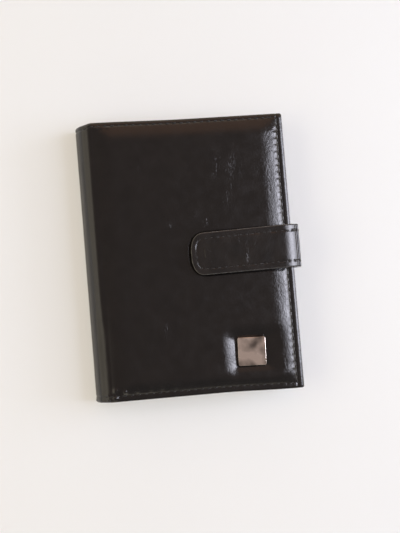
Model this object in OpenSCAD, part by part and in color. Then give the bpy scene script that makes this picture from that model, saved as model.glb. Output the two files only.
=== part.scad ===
// Travel document wallet: a padded two-leaf cover with a snap tab, closed and lying on its back cover.
// Millimetres. X runs from the spine to the opening edge, Y along the spine, Z up from the table.

/* [Cover] */
// Height of the covers along the spine
cover_h = 140; // [125:1:170]
// Width of the closed wallet from the spine to the opening edge
closed_w = 105.8; // [96:0.1:130]
// Corner radius at the opening edge
corner_r = 1.2; // [0.6:0.1:2.5]
// Clear height between the pockets for a passport and papers
bay_h = 4.6; // [4.4:0.2:9]

/* [Layers] */
// Thickness of the cover leather
leather_t = 1.2; // [1:0.1:1.5]
// Thickness of the board in each cover
board_t = 1; // [0.8:0.1:1.4]
// Thickness of the lining
lining_t = 0.5; // [0.3:0.1:0.8]
// Thickness of a pocket sheet
pocket_t = 0.6; // [0.4:0.1:0.8]
// Room inside an empty document pocket
pocket_gap = 0.3; // [0.2:0.05:0.5]
// Room inside an empty card slot
card_gap = 0.2; // [0.15:0.05:0.4]
// Width of the sewn border of a pocket
border_w = 3; // [2:0.2:4]

/* [Pockets] */
// Width of the passport flap from the opening edge
passport_reach = 66; // [50:1:80]
// Distance of the ticket flap's side from the passport flap's mouth
ticket_step = 12; // [10:0.5:16]
// Height of the ticket flap from the lower edge
ticket_h = 82; // [60:1:100]
// Radius of the thumb cut in the passport flap
thumb_r = 14; // [10:0.5:20]
// Depth of the thumb cut
thumb_depth = 7; // [4:0.5:9]
// Height of the rear card slot from the lower edge
card_h = 92; // [80:1:110]
// Step from one card slot to the next
card_step = 14; // [10:0.5:18]
// Distance of the pockets from the cut edges
pocket_in = 1.5; // [1:0.1:2.5]

/* [Padded front] */
// Rise of the padded front above its seam
pad_h = 1.7; // [1.3:0.1:2.2]
// Distance of the seam from the cut edge
seam_in = 3; // [2.2:0.2:4]
// Width over which the padding falls to the seam
fall_w = 7; // [5:0.5:9]
// Width over which the padding falls towards the spine
spine_fall_w = 10; // [6:0.5:14]
// Distance of the boards from the cut edges
board_in = 3.6; // [3:0.2:5]

/* [Spine] */
// Slope of the spine face from the table
spine_a = 52; // [46:1:64]
// Outer radius of the fold at the back cover
low_r = 4; // [3.4:0.1:4.4]
// Outer radius of the fold at the front cover
up_r = 3; // [2.6:0.1:3.6]
// Thickness of the stay inside the spine
stay_t = 0.6; // [0.4:0.1:0.8]
// Clearance on each side of a fold line
fold_gap = 0.1; // [0.05:0.01:0.15]

/* [Snap tab] */
// Width of the tab
tab_w = 21.2; // [18:0.1:26]
// Reach of the tab over the front from the opening edge
tab_reach = 52.4; // [44:0.2:56]
// Distance that the tab stands out past the opening edge
tab_bulge = 4.6; // [4.2:0.1:5.6]
// Height of the tab centre above the middle of the cover
tab_y = 0.5; // [-10:0.5:10]
// Length of the rounded tab end
tab_end = 7; // [5:0.5:10]
// Outer radius of the upper bend of the tab
tab_up_r = 9.5; // [8:0.1:10]
// Thickness of the tab leather
tab_leather_t = 1.2; // [1:0.1:1.3]
// Thickness of the tab lining
tab_lining_t = 1.4; // [1.3:0.1:1.6]
// Thickness of the stiffener inside the tab lining
stiff_t = 0.5; // [0.3:0.1:0.5]
// Clearance between the tab and the front cover
tab_gap = 0.25; // [0.2:0.05:0.5]
// Length of the sewn tongue inside the back cover
anchor_l = 10; // [8:0.5:14]

/* [Snap] */
// Distance of the snap centre from the tab tip
snap_in = 12; // [10:0.5:16]
// Radius of the snap socket and of the stud base
snap_r = 4.6; // [4:0.1:5]
// Radius of the stud head
head_r = 1.95; // [1.8:0.05:2.1]
// Running clearance round the stud head
head_gap = 0.25; // [0.2:0.05:0.4]
// Radius of the rivet post under the stud
post_r = 1; // [0.8:0.05:1.1]

/* [Plate] */
// Side of the square metal plate
plate_w = 14.1; // [12:0.1:16]
// Distance of the plate centre from the opening edge
plate_edge = 25.6; // [20:0.2:30]
// Distance of the plate centre from the lower edge
plate_foot = 19.7; // [18:0.1:26]
// Thickness of the plate with its rim
plate_t = 1.2; // [1:0.1:1.4]
// Depth of the plate in the leather
plate_sink = 0.4; // [0.2:0.05:0.5]
// Width of the raised rim of the plate
rim_w = 1; // [0.8:0.1:1.4]
// Height of the raised rim
rim_h = 0.3; // [0.2:0.05:0.4]

/* [Hidden] */
$fn = 72;
edge_x = closed_w / 2;
edge_y = cover_h / 2;
fit = 0.05;
cut = 1;
lining_in = 0.4;
fold_room = 1;

board_z = leather_t;
lining_z = board_z + board_t;
passport_z = lining_z + lining_t;
ticket_z = passport_z + pocket_gap + pocket_t;
bay_z = ticket_z + pocket_gap + pocket_t;
card_z = bay_z + bay_h;
card_step_z = pocket_t + card_gap;
front_lining_z = card_z + 3 * card_step_z;
front_board_z = front_lining_z + lining_t;
front_leather_z = front_board_z + board_t;
seam_z = front_leather_z + leather_t;
top_z = seam_z + pad_h;

low_cx = -edge_x + low_r;
spine_l = (seam_z - low_r - up_r - (low_r - up_r) * cos(spine_a)) / sin(spine_a);
up_cx = low_cx + spine_l * cos(spine_a) - (low_r - up_r) * sin(spine_a);
up_cz = seam_z - up_r;
face_dir = 90 + spine_a;
low_mid = (270 + face_dir) / 2;
up_mid = (90 + face_dir) / 2;

cap_x0 = up_cx + fold_room;
cap_x1 = edge_x - seam_in;
cap_y1 = edge_y - seam_in;

pocket_x1 = edge_x - pocket_in;
pocket_y1 = edge_y - pocket_in;
passport_x0 = edge_x - passport_reach;
ticket_x0 = passport_x0 + ticket_step;
ticket_y1 = -edge_y + ticket_h;
card_x0 = up_cx + 2 * border_w;
card_top = -edge_y + card_h;

flap_z = top_z + tab_gap;
tab_t = tab_leather_t + tab_lining_t;
flap_top = flap_z + tab_t;
tab_x = edge_x + tab_bulge;
tip_x = edge_x - tab_reach;
tab_low_cz = board_z + tab_bulge;
tab_up_cx = tab_x - tab_up_r;
tab_up_cz = flap_top - tab_up_r;
stiff_in = 4;
stiff_z = flap_top - tab_leather_t - stiff_t;

snap_x = tip_x + snap_in;
socket_h = tab_lining_t - stiff_t;
socket_roof = 0.2;
cap_r = snap_r + 0.3;
shank_r = head_r - 0.3;
stud_base_t = leather_t / 2;
flange_r = snap_r - 0.6;
flange_t = 0.5;
flange_z = top_z - leather_t - flange_t;
head_top = flap_z + socket_h - socket_roof - 0.1;

plate_x = edge_x - plate_edge;
plate_y = -edge_y + plate_foot;
plate_z = top_z - plate_sink;
prong_x = plate_w / 2 - 3;
prong_w = 1.6;
prong_t = 0.5;
backing_w = plate_w - 3;
backing_t = board_t / 2;

function arc_pts(cx, cy, r, a0, a1, n) =
    [for (i = [0:n]) let (a = a0 + (a1 - a0) * i / n) [cx + r * cos(a), cy + r * sin(a)]];

function sheet_pts(x0, x1, y1, r) = concat(
    [[x0, y1], [x0, -y1]],
    arc_pts(x1 - r, -y1 + r, r, -90, 0, 6),
    arc_pts(x1 - r, y1 - r, r, 0, 90, 6));

function fall_r(w) = (w * w + pad_h * pad_h) / (2 * pad_h);

function fall_pts(at, w, way, n) =
    [for (i = [0:n]) let (p = asin(w / fall_r(w)) * i / n)
        [at + way * fall_r(w) * sin(p), pad_h - fall_r(w) * (1 - cos(p))]];

function back_to_front(pts) = [for (i = [len(pts) - 1:-1:0]) pts[i]];

function cap_pts(u0, u1, w0, w1, below) = concat(
    back_to_front(fall_pts(u0 + w0, w0, -1, 10)),
    fall_pts(u1 - w1, w1, 1, 10),
    below > 0 ? [[u1, -below], [u0, -below]] : []);

// Outline of the tab over the front, with a softly rounded end.
function flap_pts(inset) =
    let (half = tab_w / 2 - inset, reach = tab_end - inset / 2, base = tip_x + tab_end, n = 20)
    concat(
        [for (i = [0:n]) let (t = 90 - 180 * i / n)
            [base - reach * pow(cos(t), 0.9), sign(t) * half * pow(abs(sin(t)), 0.9)]],
        [[tab_up_cx - inset, -half], [tab_up_cx - inset, half]]);

module block(x0, x1, y0, y1, z0, z1) {
    translate([x0, y0, z0]) cube([x1 - x0, y1 - y0, z1 - z0]);
}

module sheet(x0, x1, y1, z0, z1, r) {
    translate([0, 0, z0]) linear_extrude(height = z1 - z0) polygon(sheet_pts(x0, x1, y1, r));
}

// A bent strip: angles run from +X towards +Z about an axis along Y.
module bend(cx, cz, r, t, a0, a1, w) {
    translate([cx, 0, cz]) rotate([90, 0, 0]) rotate([0, 0, a0])
        rotate_extrude(angle = a1 - a0) translate([r - t, -w / 2]) square([t, w]);
}

function turn(r) = fold_gap / r * 180 / PI;

// A key inside both solids where a flat strip goes over into a bend, so that they stay one piece.
module key(t, w) {
    cube([t / 4, w / 2, t / 2], center = true);
}

module on_spine() {
    translate([low_cx - low_r * sin(spine_a), 0, low_r + low_r * cos(spine_a)])
        rotate([0, -spine_a, 0]) children();
}

module cap(drop, inset, below) {
    translate([0, 0, seam_z - drop]) intersection() {
        rotate([90, 0, 0]) linear_extrude(height = cover_h, center = true)
            polygon(cap_pts(cap_x0 + inset, cap_x1 - inset, spine_fall_w, fall_w, below));
        rotate([90, 0, 90]) linear_extrude(height = 2 * closed_w, center = true)
            polygon(cap_pts(-cap_y1 + inset, cap_y1 - inset, fall_w, fall_w, below));
    }
}

module board_block(x0, z0, z1) {
    block(x0, edge_x - board_in, -edge_y + board_in, edge_y - board_in, z0, z1);
}

module anchor_room(over) {
    block(edge_x - anchor_l - over, edge_x + cut, tab_y - tab_w / 2 - over, tab_y + tab_w / 2 + over,
        board_z - over, lining_z);
}

module prongs(over, z0, z1) {
    for (side = [-1, 1])
        translate([plate_x + side * prong_x, plate_y, (z0 + z1) / 2])
            cube([prong_t + 2 * over, prong_w + 2 * over, z1 - z0], center = true);
}

module square_at(w, z0, z1) {
    translate([plate_x, plate_y, (z0 + z1) / 2]) cube([w, w, z1 - z0], center = true);
}

module round_at(r, z0, z1) {
    translate([snap_x, tab_y, z0]) cylinder(r = r, h = z1 - z0);
}

module back_leather() {
    color("#1d1b1a") union() {
        sheet(low_cx, edge_x, edge_y, 0, leather_t, corner_r);
        bend(low_cx, low_r, low_r, leather_t, 270, low_mid + turn(low_r), cover_h);
        translate([low_cx, 0, leather_t / 2]) key(leather_t, cover_h);
    }
}

module back_board() {
    color("#8c8478") difference() {
        board_block(low_cx + fold_room, board_z, lining_z);
        anchor_room(fit);
    }
}

module back_lining() {
    color("#2a2726") difference() {
        sheet(low_cx, edge_x - lining_in, edge_y - lining_in, board_z, passport_z, corner_r);
        board_block(low_cx + fold_room, board_z - cut, lining_z);
        anchor_room(fit);
    }
}

module passport_flap() {
    color("#242120") difference() {
        sheet(passport_x0, pocket_x1, pocket_y1, passport_z, ticket_z, corner_r);
        block(passport_x0 - cut, pocket_x1 - border_w, -pocket_y1 + border_w, pocket_y1 - border_w,
            passport_z - cut, passport_z + pocket_gap);
        translate([passport_x0 + thumb_depth - thumb_r, 0, passport_z - cut])
            cylinder(r = thumb_r, h = ticket_z - passport_z + 2 * cut);
    }
}

module ticket_flap() {
    color("#242120") difference() {
        block(ticket_x0, pocket_x1, -pocket_y1, ticket_y1, ticket_z, bay_z);
        block(ticket_x0 + border_w, pocket_x1 - border_w, -pocket_y1 + border_w, ticket_y1 + cut,
            ticket_z - cut, ticket_z + pocket_gap);
    }
}

module tab_anchor() {
    color("#1d1b1a") translate([0, tab_y, 0]) union() {
        block(edge_x - anchor_l, edge_x, -tab_w / 2, tab_w / 2, board_z, lining_z);
        bend(edge_x, tab_low_cz, tab_bulge, board_t, -90, -45 - turn(tab_bulge), tab_w);
        translate([edge_x, 0, board_z + board_t / 2]) key(board_t, tab_w);
    }
}

module spine_leather() {
    low_half = (270 - face_dir) / 2;
    up_half = (face_dir - 90) / 2;
    color("#1d1b1a") on_spine() union() {
        bend(0, -low_r, low_r, leather_t, 90, 90 + low_half - turn(low_r), cover_h);
        block(0, spine_l, -edge_y, edge_y, -leather_t, 0);
        bend(spine_l, -up_r, up_r, leather_t, 90, 90 - up_half + turn(up_r), cover_h);
        for (at = [0, spine_l])
            translate([at, 0, -leather_t / 2]) key(leather_t, cover_h);
    }
}

module stay_block() {
    on_spine() block(fold_room, spine_l - fold_room, -edge_y + board_in, edge_y - board_in,
        -leather_t - stay_t, -leather_t);
}

module spine_stay() {
    color("#8c8478") stay_block();
}

module spine_lining() {
    color("#2a2726") difference() {
        on_spine() block(0, spine_l, -edge_y + lining_in, edge_y - lining_in,
            -leather_t - stay_t - lining_t, -leather_t);
        stay_block();
    }
}

module front_leather() {
    color("#1d1b1a") difference() {
        union() {
            sheet(up_cx, edge_x, edge_y, front_leather_z, seam_z, corner_r);
            bend(up_cx, up_cz, up_r, leather_t, 90, up_mid - turn(up_r), cover_h);
            translate([up_cx, 0, seam_z - leather_t / 2]) key(leather_t, cover_h);
            cap(0, 0, leather_t / 2);
        }
        cap(leather_t, 0, cut);
        round_at(snap_r + fit, top_z - stud_base_t, top_z + cut);
        round_at(post_r + fit, flange_z, top_z);
        square_at(plate_w + 2 * fit, plate_z, top_z + cut);
        prongs(fit, flange_z, top_z);
    }
}

module front_foam() {
    color("#5a5a58") difference() {
        cap(leather_t, 0.1, 0);
        round_at(flange_r + fit, flange_z, top_z);
        prongs(fit, front_leather_z - cut, top_z);
    }
}

module front_board() {
    color("#8c8478") difference() {
        board_block(up_cx + fold_room, front_board_z, front_leather_z);
        square_at(backing_w + 2 * fit, front_board_z - cut, front_board_z + backing_t);
        prongs(fit, front_board_z, front_leather_z + cut);
    }
}

module front_lining() {
    color("#2a2726") difference() {
        sheet(up_cx, edge_x - lining_in, edge_y - lining_in, front_lining_z, front_leather_z, corner_r);
        board_block(up_cx + fold_room, front_board_z, front_leather_z + cut);
    }
}

// Slot k counts from the lining inwards; its mouth faces the top edge.
module card_slot(k) {
    z1 = front_lining_z - (k - 1) * card_step_z;
    y1 = card_top - (k - 1) * card_step;
    color("#242120") difference() {
        block(card_x0, pocket_x1, -pocket_y1, y1, z1 - card_step_z, z1);
        block(card_x0 + border_w, pocket_x1 - border_w, -pocket_y1 + border_w, y1 + cut,
            z1 - card_gap, z1 + cut);
    }
}

module badge_plate() {
    color("#b9b3aa") union() {
        difference() {
            square_at(plate_w, plate_z, plate_z + plate_t);
            square_at(plate_w - 2 * rim_w, plate_z + plate_t - rim_h, plate_z + plate_t + cut);
        }
        prongs(0, front_board_z, plate_z);
    }
}

module badge_backing() {
    color("#9a978f") difference() {
        square_at(backing_w, front_board_z, front_board_z + backing_t);
        prongs(fit, front_board_z - cut, front_board_z + backing_t + cut);
    }
}

module snap_stud() {
    neck_r = head_r - 0.25;
    base_z = top_z - stud_base_t;
    color("#a9a59d") translate([snap_x, tab_y, 0]) rotate_extrude() polygon([
        [post_r + fit, base_z],
        [snap_r, base_z],
        [snap_r, top_z],
        [neck_r, top_z],
        [neck_r, top_z + 0.25],
        [head_r, top_z + 0.4],
        [head_r, head_top - 0.25],
        [neck_r, head_top],
        [0, head_top],
        [0, head_top - 0.25],
        [post_r + fit, head_top - 0.25]]);
}

module snap_post() {
    color("#a9a59d") union() {
        round_at(flange_r, flange_z, flange_z + flange_t);
        round_at(post_r, flange_z, head_top - 0.3);
    }
}

module tab_side_leather() {
    color("#1d1b1a") translate([0, tab_y, 0]) union() {
        bend(edge_x, tab_low_cz, tab_bulge, tab_leather_t, 0, -45 + turn(tab_bulge), tab_w);
        block(tab_x - tab_leather_t, tab_x, -tab_w / 2, tab_w / 2, tab_low_cz, tab_up_cz);
        bend(tab_up_cx, tab_up_cz, tab_up_r, tab_leather_t, 0, 45 - turn(tab_up_r), tab_w);
        for (at = [tab_low_cz, tab_up_cz])
            translate([tab_x - tab_leather_t / 2, 0, at]) rotate([0, 90, 0]) key(tab_leather_t, tab_w);
    }
}

module tab_side_lining() {
    color("#2a2726") translate([0, tab_y, 0]) union() {
        bend(edge_x, tab_low_cz, tab_bulge - tab_leather_t, tab_lining_t, 0, -45 + turn(tab_bulge), tab_w);
        block(tab_x - tab_t, tab_x - tab_leather_t, -tab_w / 2, tab_w / 2, tab_low_cz, tab_up_cz);
        bend(tab_up_cx, tab_up_cz, tab_up_r - tab_leather_t, tab_lining_t, 0, 45 - turn(tab_up_r), tab_w);
        for (at = [tab_low_cz, tab_up_cz])
            translate([tab_x - tab_t + tab_lining_t / 2, 0, at]) rotate([0, 90, 0]) key(tab_lining_t, tab_w);
    }
}

module flap_sheet(inset, z0, z1) {
    translate([0, tab_y, z0]) linear_extrude(height = z1 - z0) polygon(flap_pts(inset));
}

module tab_flap_leather() {
    color("#1d1b1a") union() {
        flap_sheet(0, flap_top - tab_leather_t, flap_top);
        translate([0, tab_y, 0])
            bend(tab_up_cx, tab_up_cz, tab_up_r, tab_leather_t, 90, 45 + turn(tab_up_r), tab_w);
        translate([tab_up_cx, tab_y, flap_top - tab_leather_t / 2]) key(tab_leather_t, tab_w);
    }
}

module tab_flap_stiffener() {
    color("#8c8478") difference() {
        flap_sheet(stiff_in, stiff_z, stiff_z + stiff_t);
        round_at(cap_r + fit, stiff_z - cut, stiff_z + stiff_t + cut);
    }
}

module tab_flap_lining() {
    color("#2a2726") difference() {
        union() {
            flap_sheet(0, flap_z, flap_top - tab_leather_t);
            translate([0, tab_y, 0]) bend(tab_up_cx, tab_up_cz, tab_up_r - tab_leather_t, tab_lining_t,
                90, 45 + turn(tab_up_r), tab_w);
            translate([tab_up_cx, tab_y, flap_z + tab_lining_t / 2]) key(tab_lining_t, tab_w);
        }
        flap_sheet(stiff_in, stiff_z, stiff_z + stiff_t + cut);
        round_at(snap_r + fit, flap_z - cut, stiff_z + stiff_t);
    }
}

module snap_socket() {
    color("#a9a59d") difference() {
        round_at(snap_r, flap_z, flap_z + socket_h);
        round_at(head_r + head_gap, flap_z - cut, flap_z + socket_h - socket_roof);
        round_at(shank_r + fit, flap_z, flap_z + socket_h + cut);
    }
}

module snap_cap() {
    color("#a9a59d") union() {
        round_at(cap_r, stiff_z, stiff_z + stiff_t);
        round_at(shank_r, flap_z + socket_h - socket_roof, stiff_z + stiff_t);
    }
}

back_leather();
back_board();
back_lining();
passport_flap();
ticket_flap();
tab_anchor();
spine_leather();
spine_stay();
spine_lining();
front_leather();
front_foam();
front_board();
front_lining();
card_slot(1);  // card_slot_1
card_slot(2);  // card_slot_2
card_slot(3);  // card_slot_3
badge_plate();
badge_backing();
snap_stud();
snap_post();
tab_side_leather();
tab_side_lining();
tab_flap_leather();
tab_flap_stiffener();
tab_flap_lining();
snap_socket();
snap_cap();
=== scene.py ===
"""Travel document wallet: the dressed pieces, materials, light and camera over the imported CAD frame."""

import math

import bmesh
import bpy
import mathutils
import numpy as np
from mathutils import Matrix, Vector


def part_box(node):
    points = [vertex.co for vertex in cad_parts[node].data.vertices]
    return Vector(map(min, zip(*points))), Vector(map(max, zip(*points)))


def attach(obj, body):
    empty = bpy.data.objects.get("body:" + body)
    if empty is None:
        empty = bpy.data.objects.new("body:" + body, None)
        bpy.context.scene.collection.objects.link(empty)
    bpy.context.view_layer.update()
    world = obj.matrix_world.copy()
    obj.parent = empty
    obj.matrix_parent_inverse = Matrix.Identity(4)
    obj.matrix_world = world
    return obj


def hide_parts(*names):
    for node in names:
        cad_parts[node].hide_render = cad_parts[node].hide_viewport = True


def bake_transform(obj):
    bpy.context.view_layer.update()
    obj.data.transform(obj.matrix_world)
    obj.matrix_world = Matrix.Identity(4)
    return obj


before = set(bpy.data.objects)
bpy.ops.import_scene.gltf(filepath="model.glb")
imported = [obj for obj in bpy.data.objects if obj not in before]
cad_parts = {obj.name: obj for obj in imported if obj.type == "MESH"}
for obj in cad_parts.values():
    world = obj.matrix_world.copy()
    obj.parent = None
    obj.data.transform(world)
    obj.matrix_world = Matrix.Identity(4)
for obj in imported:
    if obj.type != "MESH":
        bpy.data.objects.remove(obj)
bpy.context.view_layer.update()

# Lengths of the wallet are millimetres here, as in the part's source; meshes are written in metres.
MM = 0.001

EDGE_X, EDGE_Y, CORNER = 52.9, 70.0, 1.2
LEATHER = 1.2
SEAM_Z, PAD = 14.2, 1.7
LOW_R, UP_R = 4.0, 3.0
FACE = math.radians(52)
FACE_L = 8.3556
PLATE = (27.3, -50.3)
PLATE_W = 14.1
SNAP = (12.5, 0.5)
PITCH = 3.5
TAB_Y, TAB_W, TAB_T, TAB_END = 0.5, 21.2, 2.6, 7.0
TAB_OUT, TAB_UP_R, TAB_TOP, TAB_TIP = 4.6, 9.5, 18.75, 0.5


# Runs in the XZ plane

class Run:
    """Straight and bent lengths laid end to end; side is +1 where the outer face is left of the travel."""

    def __init__(self, x, z, heading, side):
        self.side = side
        self.length = 0.0
        self.parts = []
        self.tip = (x, z, heading)
        self.warp = None

    def line(self, length):
        x, z, a = self.tip
        self.parts.append((self.length, length, x, z, a, 0.0))
        self.length += length
        self.tip = (x + length * math.cos(a), z + length * math.sin(a), a)
        return self

    def turn(self, radius, angle):
        x, z, a = self.tip
        length = radius * abs(angle)
        rate = angle / length
        self.parts.append((self.length, length, x, z, a, rate))
        self.length += length
        b = a + angle
        self.tip = (x + (math.sin(b) - math.sin(a)) / rate, z - (math.cos(b) - math.cos(a)) / rate, b)
        return self

    def at(self, s):
        s = np.asarray(s, float)
        x, z, a = np.zeros_like(s), np.zeros_like(s), np.zeros_like(s)
        last = len(self.parts) - 1
        for i, (s0, length, px, pz, pa, rate) in enumerate(self.parts):
            here = np.ones_like(s, bool)
            if i > 0:
                here &= s >= s0
            if i < last:
                here &= s < s0 + length
            d = s[here] - s0
            b = pa + rate * d
            if rate:
                x[here] = px + (np.sin(b) - math.sin(pa)) / rate
                z[here] = pz - (np.cos(b) - math.cos(pa)) / rate
            else:
                x[here] = px + d * math.cos(pa)
                z[here] = pz + d * math.sin(pa)
            a[here] = b
        return x, z, a

    def lay(self, s, y, h):
        """Points at run length s, width y and height h over the outer face."""
        x, z, a = self.at(s)
        if self.warp:
            y = y + self.warp(s, y)
        out_x, out_z = self.side * np.sin(a) * h, self.side * np.cos(a) * h
        return np.stack([x - out_x, np.broadcast_to(y, x.shape), z + out_z], -1)


# The spine face leans over by FACE; both cover runs start at the middle of it.
MID_X = -EDGE_X + LOW_R - LOW_R * math.sin(FACE) + FACE_L / 2 * math.cos(FACE)
MID_Z = LOW_R + LOW_R * math.cos(FACE) + FACE_L / 2 * math.sin(FACE)
front_run = Run(MID_X, MID_Z, FACE, 1).line(FACE_L / 2).turn(UP_R, -FACE)
FOLD_S = front_run.length
front_run.line(EDGE_X - front_run.tip[0])
back_run = Run(MID_X, MID_Z, FACE - math.pi, -1).line(FACE_L / 2).turn(LOW_R, math.pi - FACE)
BACK_S = back_run.length
back_run.line(EDGE_X - back_run.tip[0])
tab_run = Run(EDGE_X - 8, LEATHER, 0, -1).line(8).turn(TAB_OUT, math.pi / 2)
WEB_S = tab_run.length
WEB_L = TAB_TOP - TAB_UP_R - tab_run.tip[1]
tab_run.line(WEB_L).turn(TAB_UP_R, math.pi / 2)
FLAP_S = tab_run.length
tab_run.line(tab_run.tip[0] - TAB_TIP)


# Numbers over a surface

def noise(x, y, size, seed):
    """Smooth noise from -1 to 1 in cells of the given size."""
    table = np.random.default_rng(seed).uniform(-1, 1, (64, 64))
    gx, gy = np.asarray(x) / size + 640, np.asarray(y) / size + 640
    ix, iy = np.floor(gx).astype(int), np.floor(gy).astype(int)
    fx, fy = gx - ix, gy - iy
    fx, fy = fx * fx * (3 - 2 * fx), fy * fy * (3 - 2 * fy)

    def at(i, j):
        return table[(ix + i) % 64, (iy + j) % 64]

    return (at(0, 0) * (1 - fx) + at(1, 0) * fx) * (1 - fy) + (at(0, 1) * (1 - fx) + at(1, 1) * fx) * fy


def ease(v, low, high):
    """0 up to low, 1 from high on, smooth between."""
    t = np.clip((v - low) / (high - low), 0, 1)
    return t * t * (3 - 2 * t)


def rise(d, start, reach, power):
    """0 at the seam, 1 where the padding is full, steepest at the seam."""
    return 1 - (1 - np.clip((d - start) / reach, 0, 1)) ** power


def ridge(d, at, width):
    """A round ridge of height 1."""
    return np.exp(-((d - at) / width) ** 2)


def steps(low, high, fine_low, fine_high, fine, coarse):
    """Grid lines, fine over a length at one end or both, and coarse between."""
    a = np.arange(low, low + fine_low, fine) if fine_low else np.array([low])
    b = high - np.arange(0, fine_high, fine)[::-1]
    n = max(2, int((b[0] - a[-1]) / coarse))
    return np.concatenate([a[:-1], np.linspace(a[-1], b[0], n), b[1:]])


def front_warp(s, y):
    """The cover is not quite square: it is long at two corners."""
    x = s - front_run.length + EDGE_X
    by_spine = 0.75 * ease(s, 0, 7) * (1 - ease(s, 7, 55)) * ease(y, 40, EDGE_Y)
    return by_spine - 0.9 * ease(x, 10, 50) * ease(-y, 40, EDGE_Y)


front_run.warp = front_warp


# Meshes

def mesh_piece(name, points, faces, mats, uv=None, rim=None, index=None, crease=None):
    """An object from points in millimetres; rim and crease are marks for the leather, one number a point."""
    mesh = bpy.data.meshes.new(name)
    mesh.from_pydata((np.asarray(points) * MM).tolist(), [], [tuple(f) for f in faces])
    mesh.polygons.foreach_set("use_smooth", np.ones(len(mesh.polygons), bool))
    for m in mats:
        mesh.materials.append(m)
    if index is not None:
        mesh.polygons.foreach_set("material_index", np.asarray(index, np.int32))
    corner = np.zeros(len(mesh.loops), np.int32)
    mesh.loops.foreach_get("vertex_index", corner)
    if uv is not None:
        layer = mesh.uv_layers.new(name="plan")
        layer.data.foreach_set("uv", (np.asarray(uv)[corner] * MM).astype(np.float32).ravel())
    for label, values in (("rim", rim), ("crease", crease)):
        if values is not None:
            layer = mesh.attributes.new(label, "FLOAT", "POINT")
            layer.data.foreach_set("value", np.asarray(values, np.float32))
    mesh.update()
    piece = bpy.data.objects.new(name, mesh)
    bpy.context.scene.collection.objects.link(piece)
    return piece


def quads(rows, cols, first=0, closed=False):
    """Quads of a grid of vertices that starts at index first, row after row."""
    i, j = np.meshgrid(np.arange(rows - 1), np.arange(cols if closed else cols - 1), indexing="ij")
    k = (j + 1) % cols
    f = np.stack([i * cols + j, (i + 1) * cols + j, (i + 1) * cols + k, i * cols + k], -1)
    return f.reshape(-1, 4) + first


def rolled(r, t, under):
    """Rim profile: how far out and how far down, from the top face round the cut edge to the underside."""
    top = [(r * math.sin(a), r * (1 - math.cos(a))) for a in np.radians([22, 45, 67, 90])]
    low = [(r * math.cos(a), t - r + r * math.sin(a)) for a in np.radians([0, 30, 60, 90])]
    return top + low + [(-under, t)]


def skin(name, run, S, Y, height, mats, r, t, under=0.6, loop=False, inward=False, edge_wear_and_highlight=1.0, marks=None):
    """A soft sheet over the plan points S, Y, its cut edges rolled over; loop rolls the starting side too."""
    n, m = S.shape
    way = -1 if inward else 1
    H = height(S, Y)
    points = [run.lay(S, Y, H).reshape(-1, 3)]
    uv = [np.stack([S, Y], -1).reshape(-1, 2)]
    rim = [np.zeros(n * m)]
    faces = quads(n, m)
    ids = np.arange(n * m).reshape(n, m)
    edge = np.concatenate([ids[:, -1], ids[-1, -2::-1], ids[-2::-1, 0]] + ([ids[0, 1:-1]] if loop else []))
    es, ey, eh = S.ravel()[edge], Y.ravel()[edge], H.ravel()[edge]
    if loop:
        ts, ty = np.roll(es, -1) - np.roll(es, 1), np.roll(ey, -1) - np.roll(ey, 1)
    else:
        ts, ty = np.gradient(es), np.gradient(ey)
    size = np.hypot(ts, ty) + 1e-9
    ns, ny = -ty / size, ts / size
    rows = rolled(r, t(es) if callable(t) else t, under)
    for out, down in rows:
        points.append(run.lay(es + out * ns, ey + out * ny, eh - way * down))
        uv.append(np.stack([es + (out + down) * ns, ey + (out + down) * ny], -1))
        # The rim mark sets how far the rolled edge is painted pale: wear and painted highlight together.
        rim.append(np.full(len(edge), edge_wear_and_highlight * min(1.0, max(0.0, out / r)) if out > 0 else 0.0))
    ring = np.concatenate([edge[None], n * m + np.arange(len(rows) * len(edge)).reshape(len(rows), -1)])
    k, c = ring.shape
    around = quads(k, c, closed=loop)
    faces = np.concatenate([faces, ring.ravel()[around][:, ::-1]])
    if run.side * way < 0:
        faces = faces[:, ::-1]
    crease = None
    if marks is not None:
        crease = np.concatenate([marks(S, Y).ravel(), np.zeros(len(rows) * len(edge))])
    return mesh_piece(name, np.concatenate(points), faces, mats, np.concatenate(uv), np.concatenate(rim),
                      crease=crease)


def rounded(S, Y, s1, y0, y1, r, s0=None):
    """Rounds the plan's outer corners (and the starting ones where s0 is given)."""
    S, Y = S.copy(), Y.copy()
    ends = [(s1, 1)] + ([(s0, -1)] if s0 is not None else [])
    for sc, sw in ends:
        for yc, yw in ((y0, -1), (y1, 1)):
            p, q = (S - sc) * sw + r, (Y - yc) * yw + r
            here = (p > 0) & (q > 0)
            f = np.maximum(p, q)[here] / np.hypot(p, q)[here]
            S[here] = sc + sw * (p[here] * f - r)
            Y[here] = yc + yw * (q[here] * f - r)
    return S, Y


# Points along and round one stitch.
STITCH_RINGS, STITCH_SIDES = 9, 8


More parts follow.
